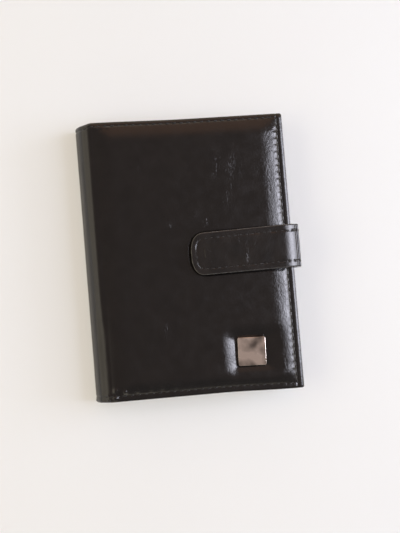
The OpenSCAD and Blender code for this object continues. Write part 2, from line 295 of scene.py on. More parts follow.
def thread(name, run, lines, height, pitch=PITCH, length=2.7, r=0.3, lift=0.12, way=1):
    """Bowed stitches along plan lines, a little uneven, their ends pulled into the leather."""
    points, uv = [], []
    luck = np.random.default_rng(len(name))
    t = np.linspace(-1, 1, STITCH_RINGS)
    phi = np.linspace(0, 2 * math.pi, STITCH_SIDES, endpoint=False)
    for line in lines:
        line = np.asarray(line, float)
        run_l = np.concatenate([[0], np.cumsum(np.hypot(*np.diff(line, axis=0).T))])
        n = int((run_l[-1] - 0.4) / pitch)
        at = (run_l[-1] - n * pitch) / 2 + pitch * (np.arange(n) + 0.5)
        cs, cy = np.interp(at, run_l, line[:, 0]), np.interp(at, run_l, line[:, 1])
        ahead = at + 0.2
        ds, dy = np.interp(ahead, run_l, line[:, 0]) - cs, np.interp(ahead, run_l, line[:, 1]) - cy
        turn = np.arctan2(dy, ds) + 0.07 + luck.uniform(-0.13, 0.13, n)
        ds, dy = np.cos(turn), np.sin(turn)
        s = cs[:, None] + ds[:, None] * t * length / 2
        y = cy[:, None] + dy[:, None] * t * length / 2
        up = lift - luck.uniform(0, 0.16, n)[:, None] - 0.62 * np.abs(t) ** 3.2
        h = height(s, y) + way * up
        twist = 1 + 0.1 * np.cos(2 * phi[None, None] - 7 * t[None, :, None])
        girth = r * (1 - 0.25 * t * t)[None, :, None] * twist
        side = girth * np.cos(phi)
        s3 = s[..., None] - dy[:, None, None] * side
        y3 = y[..., None] + ds[:, None, None] * side
        h3 = h[..., None] + girth * np.sin(phi)
        points.append(run.lay(s3, y3, h3).reshape(-1, 3))
        uv.append(np.stack([s3 * 0 + t[None, :, None] * length, phi / 6 + s3 * 0], -1).reshape(-1, 2))
    points = np.concatenate(points)
    one = quads(STITCH_RINGS, STITCH_SIDES, closed=True)
    size = STITCH_RINGS * STITCH_SIDES
    first = size * np.arange(len(points) // size)
    faces = (one[None] + first[:, None, None]).reshape(-1, 4)
    return mesh_piece(name, points, faces, [thread_black], np.concatenate(uv))


# Materials

def material(name, colour, rough, **sockets):
    """A new material and its shader; sockets are set by name, with _ for a space."""
    mat = bpy.data.materials.new(name)
    mat.use_nodes = True
    shader = mat.node_tree.nodes["Principled BSDF"]
    shader.inputs["Base Color"].default_value = (*colour, 1)
    shader.inputs["Roughness"].default_value = rough
    for key, value in sockets.items():
        shader.inputs[key.replace("_", " ")].default_value = value
    return mat, shader


class Graph:
    """Short names for the nodes that the materials and the world share."""

    def __init__(self, owner, shader, space):
        self.tree = owner.node_tree
        self.shader = shader
        coord = self.add("ShaderNodeTexCoord")
        self.space = coord.outputs[space]

    def add(self, kind, **values):
        node = self.tree.nodes.new(kind)
        for key, value in values.items():
            setattr(node, key, value)
        return node

    def link(self, a, b):
        self.tree.links.new(a, b)

    def stretched(self, sx, sy):
        node = self.add("ShaderNodeMapping")
        node.inputs["Scale"].default_value = (sx, sy, 1)
        self.link(self.space, node.inputs["Vector"])
        return node.outputs["Vector"]

    def noise(self, size, detail=2.0, rough=0.5, distort=0.0, space=None):
        node = self.add("ShaderNodeTexNoise")
        self.link(space or self.space, node.inputs["Vector"])
        node.inputs["Scale"].default_value = 1 / (size * MM)
        node.inputs["Detail"].default_value = detail
        node.inputs["Roughness"].default_value = rough
        node.inputs["Distortion"].default_value = distort
        return node.outputs["Fac"]

    def veins(self, *values):
        """How far a noise is from its middle: 0 along winding lines."""
        return self.math("ABSOLUTE", self.math("SUBTRACT", self.noise(*values), 0.5), 0.0)

    def cells(self, size):
        node = self.add("ShaderNodeTexVoronoi", feature="SMOOTH_F1")
        self.link(self.space, node.inputs["Vector"])
        node.inputs["Scale"].default_value = 1 / (size * MM)
        return node.outputs["Distance"]

    def waves(self, size, axis):
        node = self.add("ShaderNodeTexWave", bands_direction=axis)
        self.link(self.space, node.inputs["Vector"])
        node.inputs["Scale"].default_value = 0.314 / (size * MM)
        node.inputs["Distortion"].default_value = 0.3
        return node.outputs["Fac"]

    def remap(self, value, a, b, c, d, shape="LINEAR"):
        node = self.add("ShaderNodeMapRange", interpolation_type=shape)
        self.link(value, node.inputs["Value"])
        for key, number in zip(("From Min", "From Max", "To Min", "To Max"), (a, b, c, d)):
            node.inputs[key].default_value = number
        return node.outputs["Result"]

    def math(self, operation, a, b):
        node = self.add("ShaderNodeMath", operation=operation)
        for socket, value in zip(node.inputs, (a, b)):
            if isinstance(value, (int, float)):
                socket.default_value = value
            else:
                self.link(value, socket)
        return node.outputs[0]

    def ramp(self, value, *stops):
        node = self.add("ShaderNodeValToRGB")
        self.link(value, node.inputs["Fac"])
        bar = node.color_ramp.elements
        while len(bar) < len(stops):
            bar.new(0.5)
        for element, (at, colour) in zip(bar, stops):
            element.position = at
            element.color = (*colour, 1)
        return node.outputs["Color"]

    def mix(self, fac, a, b):
        node = self.add("ShaderNodeMix", data_type="RGBA")
        self.link(fac, node.inputs["Factor"])
        for key, value in ((6, a), (7, b)):
            if isinstance(value, tuple):
                node.inputs[key].default_value = (*value, 1)
            else:
                self.link(value, node.inputs[key])
        return node.outputs[2]

    def mark(self, name):
        node = self.add("ShaderNodeAttribute", attribute_name=name)
        return node.outputs["Fac"]

    def bump(self, height, depth, under=None):
        node = self.add("ShaderNodeBump")
        node.inputs["Strength"].default_value = 1.0
        node.inputs["Distance"].default_value = depth * MM
        self.link(height, node.inputs["Height"])
        if under is not None:
            self.link(under, node.inputs["Normal"])
        return node.outputs["Normal"]

    def out(self, **links):
        for key, value in links.items():
            self.link(value, self.shader.inputs[key.replace("_", " ")])


def leather(name, dark, light, rough, grain, edge, crease=1.0, size=0.95):
    """Glossy leather with a fine grain, folds, wrinkles where it is marked, and a paler cut edge, partly wear
    and partly a painted highlight of its rounded rim.
    """
    mat, shader = material(name, dark, rough, Coat_Weight=0.05, Coat_Roughness=0.12, Coat_IOR=1.5)
    g = Graph(mat, shader, "UV")
    tone = g.noise(9, 3)
    fine = g.noise(0.35, 2)
    base = g.ramp(tone, (0.3, dark), (0.7, light))
    rim = g.mark("rim")
    # The cut edge is painted paler, partly for its wear and partly as a painted highlight that the rounded
    # rim catches.
    wear_and_highlight = g.math("MULTIPLY", rim, g.remap(g.noise(2.2, 3), 0.25, 0.65, 0.35, 1.0))
    pebble = g.remap(g.cells(size), 0.1, 0.75, 1.0, 0.0)
    pebble = g.math("ADD", pebble, g.math("MULTIPLY", fine, 0.55))
    fold = g.remap(g.veins(8, 2, 0.5, 0.8, g.stretched(1.0, 0.45)), 0.0, 0.05, 0.0, 1.0)
    patch = g.remap(g.noise(17, 1), 0.58, 0.72, 1.0, 0.0)
    fold = g.math("MAXIMUM", fold, patch)
    wrinkle = g.remap(g.veins(1.5, 2, 0.55, 0.7, g.stretched(1.0, 0.4)), 0.0, 0.09, 1.0, 0.0)
    wrinkle = g.math("MULTIPLY", wrinkle, g.mark("crease"))
    normal = g.bump(fold, 0.010 * crease)
    normal = g.bump(wrinkle, 0.045, normal)
    normal = g.bump(g.noise(5, 1, 0.4, 0.0, g.stretched(1.0, 0.6)), 0.05 * crease, normal)
    normal = g.bump(pebble, grain, normal)
    gloss = g.math("ADD", g.remap(g.noise(5, 4), 0.3, 0.7, rough - 0.05, rough + 0.06),
                   g.math("MULTIPLY", rim, 0.12))
    g.out(Base_Color=g.mix(wear_and_highlight, base, edge), Roughness=gloss, Normal=normal, Coat_Normal=normal)
    return mat


def cloth(name, dark, light):
    mat, shader = material(name, dark, 0.75, Sheen_Weight=0.25, Sheen_Roughness=0.45)
    g = Graph(mat, shader, "UV")
    warp, weft = g.waves(0.55, "X"), g.waves(0.55, "Y")
    weave = g.math("MAXIMUM", warp, weft)
    tone = g.math("MULTIPLY", weave, g.remap(g.noise(6, 3), 0.3, 0.7, 0.55, 1.0))
    base = g.ramp(tone, (0.2, dark), (0.9, light))
    g.out(Base_Color=g.mix(g.mark("rim"), base, dark), Roughness=g.remap(g.noise(3, 2), 0.3, 0.7, 0.66, 0.82),
          Normal=g.bump(weave, 0.05))
    return mat


def metal(name, colour, rough, brushed, depth):
    """Metal with soft dark clouds painted into its colour as dark reflections; brushed draws its fine streaks
    out.
    """
    mat, shader = material(name, colour, rough, Metallic=1.0)
    g = Graph(mat, shader, "Object")
    streak = g.noise(0.9, 3, 0.6, 0.0, g.stretched(brushed, 1.0))
    # Painted reflection: clouds of darker colour stand in for the dark reflections on the polished face.
    painted_reflection = g.noise(7, 1.5)
    reflection_dark = tuple(0.26 * c for c in colour)
    g.out(Base_Color=g.ramp(painted_reflection, (0.30, reflection_dark), (0.55, colour)),
          Roughness=g.remap(streak, 0.3, 0.75, rough - 0.04, rough + 0.06),
          Normal=g.bump(streak, depth))
    return mat


def board(name, dark, light):
    mat, shader = material(name, dark, 0.85)
    g = Graph(mat, shader, "Object")
    fibre = g.noise(0.8, 4, 0.6, 0.4)
    g.out(Base_Color=g.ramp(fibre, (0.3, dark), (0.7, light)), Roughness=g.remap(fibre, 0.3, 0.7, 0.8, 0.95),
          Normal=g.bump(fibre, 0.05))
    return mat


def spun(name, dark, light):
    mat, shader = material(name, dark, 0.6, Sheen_Weight=0.08)
    g = Graph(mat, shader, "UV")
    ply = g.noise(0.4, 2, 0.5, 0.0, g.stretched(1.0, 3.0))
    g.out(Base_Color=g.ramp(ply, (0.3, dark), (0.75, light)), Roughness=g.remap(ply, 0.3, 0.7, 0.5, 0.7),
          Normal=g.bump(ply, 0.03))
    return mat


# The last colour of each leather is its cut edge, pale partly from wear and partly as a painted highlight.
black = leather("black_leather", (0.0058, 0.0049, 0.0046), (0.0088, 0.0075, 0.0070), 0.19, 0.022,
                (0.16, 0.155, 0.15))
tab_black = leather("tab_leather", (0.0056, 0.0051, 0.0050), (0.0135, 0.0112, 0.0098), 0.19, 0.018,
                    (0.09, 0.087, 0.086), crease=0.7)
pocket_black = leather("pocket_leather", (0.010, 0.0094, 0.009), (0.019, 0.0178, 0.017), 0.40, 0.02,
                       (0.05, 0.047, 0.045), crease=0.5, size=0.9)
lining_black = cloth("lining_fabric", (0.008, 0.008, 0.0085), (0.026, 0.025, 0.026))
tab_suede = cloth("tab_lining_fabric", (0.012, 0.011, 0.011), (0.030, 0.028, 0.027))
thread_black = spun("thread_black", (0.004, 0.004, 0.004), (0.014, 0.0135, 0.0135))
nickel = metal("polished_nickel", (0.93, 0.83, 0.76), 0.10, 1.0, 0.004)
steel = metal("snap_steel", (0.66, 0.65, 0.63), 0.24, 3.0, 0.01)
grey_board = board("grey_board", (0.22, 0.20, 0.17), (0.34, 0.31, 0.27))


# Front cover and the upper half of the spine

FRONT_END = front_run.length
# Distance of the seams from the right, top and bottom edge.
S_R, S_T, S_B = 3.5, 2.2, 2.9


def seam_r(y):
    """Distance of the opening edge's seam from the edge: it runs out a little towards the top."""
    return S_R - 0.6 * ease(y, 35, 68)


# Wrinkled spots of the padded front: place, half width, half length and strength.
WRINKLES = ((16.4, 44.0, 2.2, 7.0, 0.65), (24.6, 45.0, 2.4, 8.5, 0.8), (29.0, 42.0, 1.2, 5.0, 0.4),
            (22.0, 31.0, 2.2, 8.0, 0.6), (39.0, 43.0, 1.0, 5.0, 0.4), (9.2, 16.5, 1.6, 3.0, 1.0),
            (4.4, 20.2, 1.2, 2.5, 0.5), (-8.6, 16.0, 1.2, 2.0, 0.7), (-22.8, 45.0, 1.4, 2.0, 0.6),
            (-2.8, 38.5, 1.4, 4.0, 0.5), (-15.2, -35.5, 1.6, 2.6, 1.0), (-15.6, -40.5, 1.2, 2.6, 0.5),
            (-23.2, -43.0, 1.0, 5.0, 0.45), (-19.5, 3.0, 0.8, 7.0, 0.35), (6.0, -20.0, 1.2, 4.0, 0.35),
            (-34.0, 8.0, 1.0, 6.0, 0.3))
# They lean: this far to the right for each millimetre up.
WRINKLE_LEAN = 0.28
# Place, size and height of the small puckers where the seams run on to the spine.
PUCKERS = ((-42.2, 67.0, 1.2, 0.42), (-39.4, 67.4, 1.0, 0.32), (-36.0, 66.8, 0.9, 0.24),
           (-42.2, -64.3, 1.3, 0.8), (-42.4, -67.8, 1.4, 0.85), (-37.4, -65.3, 1.1, 0.7),
           (-39.2, -66.8, 0.9, 0.35), (-46.5, -66.5, 0.9, 0.2), (-31.0, -65.2, 1.0, 0.3),
           (-24.5, -64.8, 1.1, 0.3), (-19.0, -64.9, 0.9, 0.25), (-12.5, -64.6, 1.2, 0.25))
# Depth and reach of the dents that the plate and the snap press into the padding.
PLATE_DENT, PLATE_REACH = 1.72, 8.4
SNAP_DENT, SNAP_R = 0.22, 5.0
# Depth and corner radius of the tab's bed in the padding.
BED, BED_R = 0.3, 8.5


def front_marks(s, y):
    """Strength of the wrinkles: the spots, and the loose skin along the opening edge and beside the plate."""
    x = s - FRONT_END + EDGE_X
    total = np.zeros_like(x)
    for cx, cy, wide, tall, strength in WRINKLES:
        across = x - cx - WRINKLE_LEAN * (y - cy)
        total = np.maximum(total, strength * np.exp(-(across / wide) ** 2 - ((y - cy) / tall) ** 2))
    sewn_r = EDGE_X - x - seam_r(y)
    loose = np.maximum(0.55 * ease(sewn_r, 0, 1.5) * (1 - ease(sewn_r, 5, 11)),
                       0.28 * (x < PLATE[0] - PLATE_W / 2) * (1 - ease(plate_off(x, y), 2, 8.5)))
    return np.maximum(total, loose)


def plate_off(x, y):
    """Distance from the plate, counted shorter on its right, where the padding is pressed down further."""
    beside = np.maximum(np.abs(x - PLATE[0]) - PLATE_W / 2, 0)
    above = np.maximum(np.abs(y - PLATE[1]) - PLATE_W / 2 + 0.7, 0)
    return np.hypot(np.where(x > PLATE[0], 0.62 * beside, beside), above)


def bow(s):
    """The spine face is bowed: s is counted from its middle."""
    return np.cos(np.clip(s / 6.6, 0, 1) * math.pi / 2) ** 2


def lean(y):
    """The spine face stands out at the top and falls back at the bottom."""
    return -0.22 + 0.42 * y / EDGE_Y


def turned(d, wide, deep):
    """Fall of a turned edge, d in from it."""
    return deep * (1 - np.sqrt(np.maximum(1 - (np.maximum(wide - d, 0) / wide) ** 2, 0)))


def spine_ends(top, low):
    """Fall of the leather at the two ends of the spine, the same for both covers."""
    sewn = np.maximum(ridge(top, S_T, 0.42), ridge(low, S_B, 0.42))
    return turned(np.minimum(top, low), 1.0, 1.0) + 0.3 * sewn


def front_height(s, y):
    """Height of the front's leather over its run."""
    x = s - FRONT_END + EDGE_X
    right, top, low, fold = EDGE_X - x, EDGE_Y - y, EDGE_Y + y, s - FOLD_S
    sewn_r = right - seam_r(y)
    side = 0.8 * rise(sewn_r, 0, 10.0, 2.2) + 0.2 * rise(sewn_r, 0, 2.6, 2.0)
    full = side * rise(top, S_T, 9.5, 2.5) * rise(low, S_B, 7.5, 2.2) * rise(fold, 0.8, 10, 2.0)
    h = PAD * full + (1.0 + lean(y)) * bow(s)
    # Turned edges, and the sewn lines that pull the leather in so that it puckers between the stitches.
    ends = turned(top, 1.6, 0.9) + 0.2 * np.maximum(S_T - top, 0) + turned(low, 1.2, 1.0)
    ends = ends + 0.15 * np.maximum(ridge(top, S_T, 0.4), ridge(low, S_B, 0.4)) * (sewn_r > 0)
    h = h - turned(right, 1.8, 1.1) - 0.22 * ridge(sewn_r, 0, 0.4)
    h = h - spine_ends(top, low) + ease(s, 0, 6) * (spine_ends(top, low) - ends)
    between = (0.03 + 0.04 * ease(y, -10, 20)) * ridge(sewn_r, 1.2, 1.1) * np.cos(2 * math.pi * y / PITCH)
    between = between * (1 + 0.8 * noise(x, y, 5, 14))
    h = h + between * ease(top, 4, 11) * ease(low, 4, 11)
    sewn = np.maximum(ridge(top, S_T + 0.7, 0.7), ridge(low, S_B + 0.7, 0.7)) * ease(sewn_r, 0, 2)
    h = h + sewn * (0.03 * np.cos(2 * math.pi * s / PITCH) + 0.065 * noise(x, y, 2.2, 13))
    # Slow waves of the padding, and a slack skin near the spine.
    h = h + full * (0.14 * noise(x, y, 29, 3) + 0.05 * noise(x, y, 11, 4))
    h = h + 0.09 * noise(x, y * 0.6, 5, 6) * ridge(right, 10, 4) * full
    h = h + 0.08 * noise(x * 1.8, y, 9, 5) * ridge(fold, 4, 6)
    h = h - 0.7 * ease(-y, 12, 44) * ridge(fold, -2.2, 3.0)
    # The plate and the snap press the padding down.
    near = np.clip(plate_off(x, y) / PLATE_REACH, 0, 1)
    h = h - PLATE_DENT * (1 - 1.5 * near + 0.5 * near ** 3)
    round_off = np.maximum(np.hypot(x - SNAP[0], y - SNAP[1]) - SNAP_R, 0)
    h = h - SNAP_DENT * np.exp(-(round_off / 2.5) ** 2)
    # The tab lies in the padding.
    bed_x = np.maximum(TAB_TIP + BED_R - x, 0)
    bed_y = np.maximum(np.abs(y - TAB_Y) - TAB_W / 2 + BED_R, 0)
    h = h - BED * (1 - ease(np.hypot(bed_x, bed_y) - BED_R, 0, 1.3)) * ease(sewn_r, 0, 3)
    for px, py, size, lift in PUCKERS:
        h = h + lift * np.exp(-((x - px) ** 2 + (y - py) ** 2) / size ** 2)
    return h


# The plans stop short of the cut edges by their rolled rims. Up to FINE_S, past the folds, they are fine.
COVER_RIM, FINE_S = 0.35, 17


def cover_plan(run):
    far, half = run.length - COVER_RIM, EDGE_Y - COVER_RIM
    s = np.unique(np.concatenate([np.arange(0, FINE_S, 0.4), steps(FINE_S, far, 0, 11, 0.25, 0.6)]))
    S, Y = np.meshgrid(s, steps(-half, half, 11, 11, 0.25, 0.6), indexing="ij")
    return rounded(S, Y, far, -half, half, CORNER - COVER_RIM)


def front_thick(s):
    """Thickness that shows at the cut edge: more on the spine, less where the lining is sewn on."""
    return 0.62 + 1.28 * (1 - ease(s, 9, 13))


S, Y = cover_plan(front_run)
front = skin("front_cover_skin", front_run, S, Y, front_height, [black], 0.28, front_thick, marks=front_marks)
front_lines = [
    [(0.6, EDGE_Y - S_T), (FRONT_END - S_R - 0.4, EDGE_Y - S_T)],
    [(FRONT_END - seam_r(y), y) for y in np.linspace(EDGE_Y - 0.3, -EDGE_Y + 0.3, 60)],
    [(0.6, -EDGE_Y + S_B), (FRONT_END - S_R - 0.4, -EDGE_Y + S_B)],
]
front_thread = thread("front_cover_thread", front_run, front_lines, front_height)

# Back cover and the lower half of the spine

BACK_END = back_run.length


def back_height(s, y):
    """Height of the back's leather over its run."""
    right, top, low = BACK_END - s, EDGE_Y - y, EDGE_Y + y
    rest = ease(s, BACK_S - 3, BACK_S + 6)
    h = bow(s) + lean(y) * (1 - ease(s, 6, 10)) - spine_ends(top, low)
    side = np.maximum(turned(right, 1.0, 1.0) - turned(np.minimum(top, low), 1.0, 1.0), 0)
    h = h - side - 0.3 * ridge(right, S_R, 0.42)
    return h - 0.05 * rest * (1 + noise(s, y, 15, 8)) + 0.05 * (1 - rest) * noise(s * 1.5, y, 7, 9)


def back_thick(s):
    return 0.9 + 1.0 * (1 - ease(s, 12, 16))


S, Y = cover_plan(back_run)
back = skin("back_cover_skin", back_run, S, Y, back_height, [black], 0.35, back_thick)
back_lines = [
    [(0.6, EDGE_Y - S_T), (BACK_END - S_R - 0.4, EDGE_Y - S_T)],
    [(BACK_END - S_R, EDGE_Y - 0.3), (BACK_END - S_R, -EDGE_Y + 0.3)],
    [(0.6, -EDGE_Y + S_B), (BACK_END - S_R - 0.4, -EDGE_Y + S_B)],
]
back_thread = thread("back_cover_thread", back_run, back_lines, back_height, lift=-0.02)

# Linings: one sheet for each cover, carried on over its half of the spine

LINING_IN, LINING_RIM, LINING_SEAM = 0.45, 0.4, 2.6


def lining_plan(run):
    far, half = run.length - LINING_IN - LINING_RIM, EDGE_Y - LINING_IN - LINING_RIM
    s = np.unique(np.concatenate([np.arange(0, FINE_S, 0.5), steps(FINE_S, far, 0, 4, 0.5, 1.6)]))
    S, Y = np.meshgrid(s, steps(-half, half, 4, 4, 0.5, 1.6), indexing="ij")
    return rounded(S, Y, far, -half, half, 0.8)


def front_lining_height(s, y):
    """The lining lies behind the leather, deeper past the fold, where the board and padding are between."""
    depth = 2.3 - 0.55 * ease(s, 2.6, 4.0) + 0.95 * ease(s, 6.4, 9.5)
    return -depth + 0.04 * noise(s, y, 12, 11)


def back_lining_height(s, y):
    depth = 2.3 - 0.55 * ease(s, 2.6, 5.0) + 0.95 * ease(s, 10.5, 14.5)
    return -depth + 0.04 * noise(s, y, 12, 12)


def lining_sheet(name, run, height):
    S, Y = lining_plan(run)
    return skin(name, run, S, Y, height, [lining_black], LINING_RIM, 1.35, inward=True)


def lining_thread(name, run, height):
    far, half, start = run.length - LINING_SEAM, EDGE_Y - LINING_SEAM, 11.5
    lines = [[(start, half), (far - 0.4, half)],
             [(far, half), (far, -half)],
             [(start, -half), (far - 0.4, -half)]]
    return thread(name, run, lines, height, way=-1, r=0.22)


front_in = lining_sheet("front_lining_sheet", front_run, front_lining_height)
back_in = lining_sheet("back_lining_sheet", back_run, back_lining_height)
front_in_thread = lining_thread("front_lining_thread", front_run, front_lining_height)
back_in_thread = lining_thread("back_lining_thread", back_run, back_lining_height)


# Pocket sheets

# Distance of a pocket's seams from its sewn sides and of its hem from its mouth.
POCKET_SEAM, POCKET_HEM = 1.3, 2.2


def thumb_cut(y, deep):
    """How far the thumb cut reaches into a sheet; it is 30 mm wide."""
    return deep * np.clip(1 - (y / 15.0) ** 2, 0, 1) ** 0.75


def pocket(node, body, side, mouth, lines, seed, notch=0.0):
    """A pocket sheet in its node's place; its mouth has a turned hem and, where asked, a thumb cut."""
    low, high = (np.array(c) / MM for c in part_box(node))
    wide, r = high[0] - low[0], 0.25
    run = Run(low[0], high[2] if side > 0 else low[2], 0, side).line(wide)
    u = steps(r, wide - r, 4, 4, 0.4, 1.3)
    y = steps(low[1] + r, high[1] - r, 4, 4, 0.4, 1.0)
    S, Y = np.meshgrid(u, y, indexing="ij")
    S = S + thumb_cut(Y, notch) * (1 - np.clip((S - r) / (0.6 * wide), 0, 1)) ** 2
    S, Y = rounded(S, Y, wide - r, low[1] + r, high[1] - r, 1.0, r)

    def height(s, yy):
        d = s - thumb_cut(yy, notch) if mouth == "spine" else high[1] - yy
        return -0.08 * ridge(d, POCKET_HEM, 0.35) + 0.06 * noise(s, yy, 14, seed) - 0.06

    sheet = skin(node + "_sheet", run, S, Y, height, [pocket_black], r, 0.55, 0.4, loop=True, edge_wear_and_highlight=0.7)
    plan = [[(a - low[0], b) for a, b in line] for line in lines(low, high)]
    sewn = thread(node + "_thread", run, plan, height, pitch=3.2, length=2.4, r=0.2, lift=0.08)
    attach(sheet, body)
    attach(sewn, body)
    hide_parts(node)


def three_sides(low, high):
    """Seams of a sheet whose mouth is at its low x."""
    right, top, bottom = high[0] - POCKET_SEAM, high[1] - POCKET_SEAM, low[1] + POCKET_SEAM
    return [[(low[0] + 1, top), (right - 0.3, top)],
            [(right, top), (right, bottom)],
            [(low[0] + 1, bottom), (right - 0.3, bottom)]]


def upward_mouth(low, high):
    """Seams of a sheet whose mouth is at its top, and its hem."""
    left, right, bottom = low[0] + POCKET_SEAM, high[0] - POCKET_SEAM, low[1] + POCKET_SEAM
    hem = high[1] - POCKET_HEM
    return [[(left, high[1] - 1), (left, bottom)],
            [(right, high[1] - 1), (right, bottom)],
            [(left + 0.3, bottom), (right - 0.3, bottom)],
            [(left + 0.5, hem), (right - 0.5, hem)]]


pocket("passport_flap", "back_cover", 1, "spine", three_sides, 21, notch=7.0)
pocket("ticket_flap", "back_cover", 1, "top", upward_mouth, 22)
for slot_node in ("card_slot_1", "card_slot_2", "card_slot_3"):
    pocket(slot_node, "front_cover", -1, "top", upward_mouth, 23)


# Snap tab

TAB_HALF = TAB_W / 2
TAB_SEAM = 3.0
# Plan rings of the tab, in from its cut edge to its middle line.
TAB_INSETS = np.array([0, 0.08, 0.25, 0.5, 0.85, 1.3, 1.9, 2.4, 2.7, 2.9, 3.05, 3.25, 3.5, 3.9, 4.6, 5.6,
                       7.0, 8.8, TAB_HALF])

# The tab's outer bend is no round one: a long slope and a creased shoulder, here as heights over the bend.
TAB_X = EDGE_X + TAB_OUT
LEAN, SLOPE_L, CREASE_R = math.radians(11.75), 7.05, 1.0
SHOULDER, SHOULDER_R = math.radians(21), 16.0
shoulder = Run(TAB_X, TAB_TOP - TAB_UP_R, math.pi / 2 + LEAN, -1).line(SLOPE_L)
shoulder.turn(CREASE_R, math.pi / 2 - SHOULDER - LEAN)
SHOULDER_RISE = TAB_TOP - SHOULDER_R * (1 - math.cos(SHOULDER)) - shoulder.tip[1]
shoulder.line(SHOULDER_RISE / math.sin(SHOULDER)).turn(SHOULDER_R, SHOULDER)
sx, sz, _ = shoulder.at(np.linspace(0, shoulder.length, 200))
sx, sz = sx - (TAB_X - TAB_UP_R), sz - (TAB_TOP - TAB_UP_R)
SHOULDER_S = FLAP_S - np.where(sx > 0, TAB_UP_R * np.arctan2(sx, sz), sx)
SHOULDER_H = np.where(sx > 0, np.hypot(sx, sz), sz) - TAB_UP_R
CREASE_S = FLAP_S - TAB_UP_R * math.radians(40.5)


def bend_height(s):
    """Height of the shoulder over the round bend, with the crease in it."""
    return np.interp(s, SHOULDER_S, SHOULDER_H, left=0.0) - 0.36 * ridge(s, CREASE_S, 0.42)


def tab_top(s, v, d):
    """Height of the tab's outer face over its run, d in from the cut edge."""
    pulled = np.clip(1 + 1.2 * noise(s, v, 1.6, 33), 0.1, 2)
    h = bend_height(s) - turned(d, 0.55, 0.55) - 0.10 * pulled * ridge(d, TAB_SEAM, 0.45)
    h = h + 0.10 * ease(d, TAB_SEAM, TAB_SEAM + 3)
    h = h + 0.10 * noise(s, v, 12, 31) * ease(s, FLAP_S, FLAP_S + 8) * ease(d, 0, 4)
    return h + tab_lift(s)


def skew(s, v=0):
    """The tab lies a little askew: its free end is lower on the cover than its root, and narrower."""
    t = np.clip((s - FLAP_S) / (tab_run.length - FLAP_S), 0, 1)
    return 0.45 - 0.9 * t + 0.55 * np.maximum(v, 0) / TAB_HALF * (1 - t)


def tab_lift(s):
    """The free end stands off the cover a little."""
    return 0.12 * ease(s, tab_run.length - 26, tab_run.length) ** 2


def tab_under(s, v, d):
    """Height of the tab's inner face; it gives way round the snap."""
    t = 1.0 + (TAB_T - 1.0) * ease(s, 8.5, WEB_S)
    x = tab_run.at(s)[0]
    seat = np.maximum(np.hypot(x - SNAP[0], v) - 4.8, 0)
    return turned(d, 0.45, 0.45) - t + tab_lift(s) * 0.6 + 0.14 * np.exp(-(seat / 0.8) ** 2) * (s > FLAP_S)


def tab_ring(d, s0, s1, tip):
    """Plan line of the tab's outline, d in from the cut edge."""
    bent = min(s1, FLAP_S + 2)
    run_s = np.linspace(s0, bent, int((bent - s0) / 0.25) + 2)
    if s1 > bent:
        run_s = np.concatenate([run_s, np.linspace(bent, s1, int((s1 - bent) / 0.6) + 2)[1:]])
    half = TAB_HALF - d
    upper, lower = np.full(len(run_s), half), np.full(len(run_s), -half)
    if not tip:
        return np.concatenate([run_s, run_s[::-1]]), np.concatenate([upper, lower])
    a = np.radians(np.linspace(90, -90, 49)[1:-1])
    reach = max(TAB_END - d * 0.86, 0)
    end_s = s1 + reach * np.cos(a) ** 0.8
    end_v = half * np.sign(np.sin(a)) * np.abs(np.sin(a)) ** 0.8
    return np.concatenate([run_s, end_s, run_s[::-1]]), np.concatenate([upper, end_v, lower])


# Scuffs of the tab: distance from its tip, place across, half width, half length and strength.
SCUFFS = ((28.0, -1.0, 1.0, 6.5, 0.9), (24.5, 5.5, 1.2, 3.0, 0.6), (32.5, 3.0, 0.8, 4.0, 0.5),
          (9.0, 0.0, 0.9, 6.0, 0.45), (17.0, -3.0, 1.0, 3.5, 0.4))


def tab_marks(s, v):
    total = np.zeros_like(s)
    for back, at, wide, tall, strength in SCUFFS:
        spot = np.exp(-((tab_run.length - s - back) / wide) ** 2 - ((v - at) / tall) ** 2)
        total = np.maximum(total, strength * spot)
    return total


def welded(piece):
    """Joins the points that meet along the tab's middle."""
    bm = bmesh.new()
    bm.from_mesh(piece.data)
    bmesh.ops.remove_doubles(bm, verts=bm.verts, dist=0.00001)
    bmesh.ops.recalc_face_normals(bm, faces=bm.faces)
    bm.to_mesh(piece.data)
    bm.free()
    return piece


def tab_part(name, s0, s1, tip):
    """A length of the tab: leather face, cut edge and suede face."""
    rings = [tab_ring(d, s0, s1, tip) for d in TAB_INSETS]
    points, uv, rim, crease = [], [], [], []
    for face in (tab_top, tab_under):
        for d, (s, v) in zip(TAB_INSETS, rings):
            points.append(tab_run.lay(s, v + TAB_Y + skew(s, v), face(s, v, np.full_like(s, d))))
            uv.append(np.stack([s, v], -1))
            # The rim mark pales the tab's cut edge: partly wear, partly a painted highlight of the rounded
            # edge.
            rim.append(np.full(len(s), float(1 - ease(d, 0.05, 0.6)) * (face is tab_top)))
            crease.append(tab_marks(s, v) * (face is tab_top))
    k, c = len(TAB_INSETS), len(rings[0][0])
    top = quads(k, c)
    low = quads(k, c, k * c)[:, ::-1]
    j = np.arange(c - 1)
    wall = np.stack([j, j + 1, k * c + j + 1, k * c + j], -1)
    faces = np.concatenate([top, low, wall])
    index = np.concatenate([np.zeros(len(top)), np.ones(len(low)), np.zeros(len(wall))])
    return welded(mesh_piece(name, np.concatenate(points), faces, [tab_black, tab_suede], np.concatenate(uv),
                             np.concatenate(rim), index, np.concatenate(crease)))


MID_WEB = WEB_S + WEB_L / 2
ROUND_S = tab_run.length - TAB_END
tab_low = tab_part("tab_lower", 1.0, MID_WEB, False)
tab_high = tab_part("tab_upper", MID_WEB, ROUND_S, True)


def tab_seam_height(s, y):
    return tab_top(s, y - TAB_Y - skew(s), np.full_like(s, TAB_SEAM))


def tab_seam_under(s, y):
    return tab_under(s, y - TAB_Y - skew(s), np.full_like(s, TAB_SEAM))


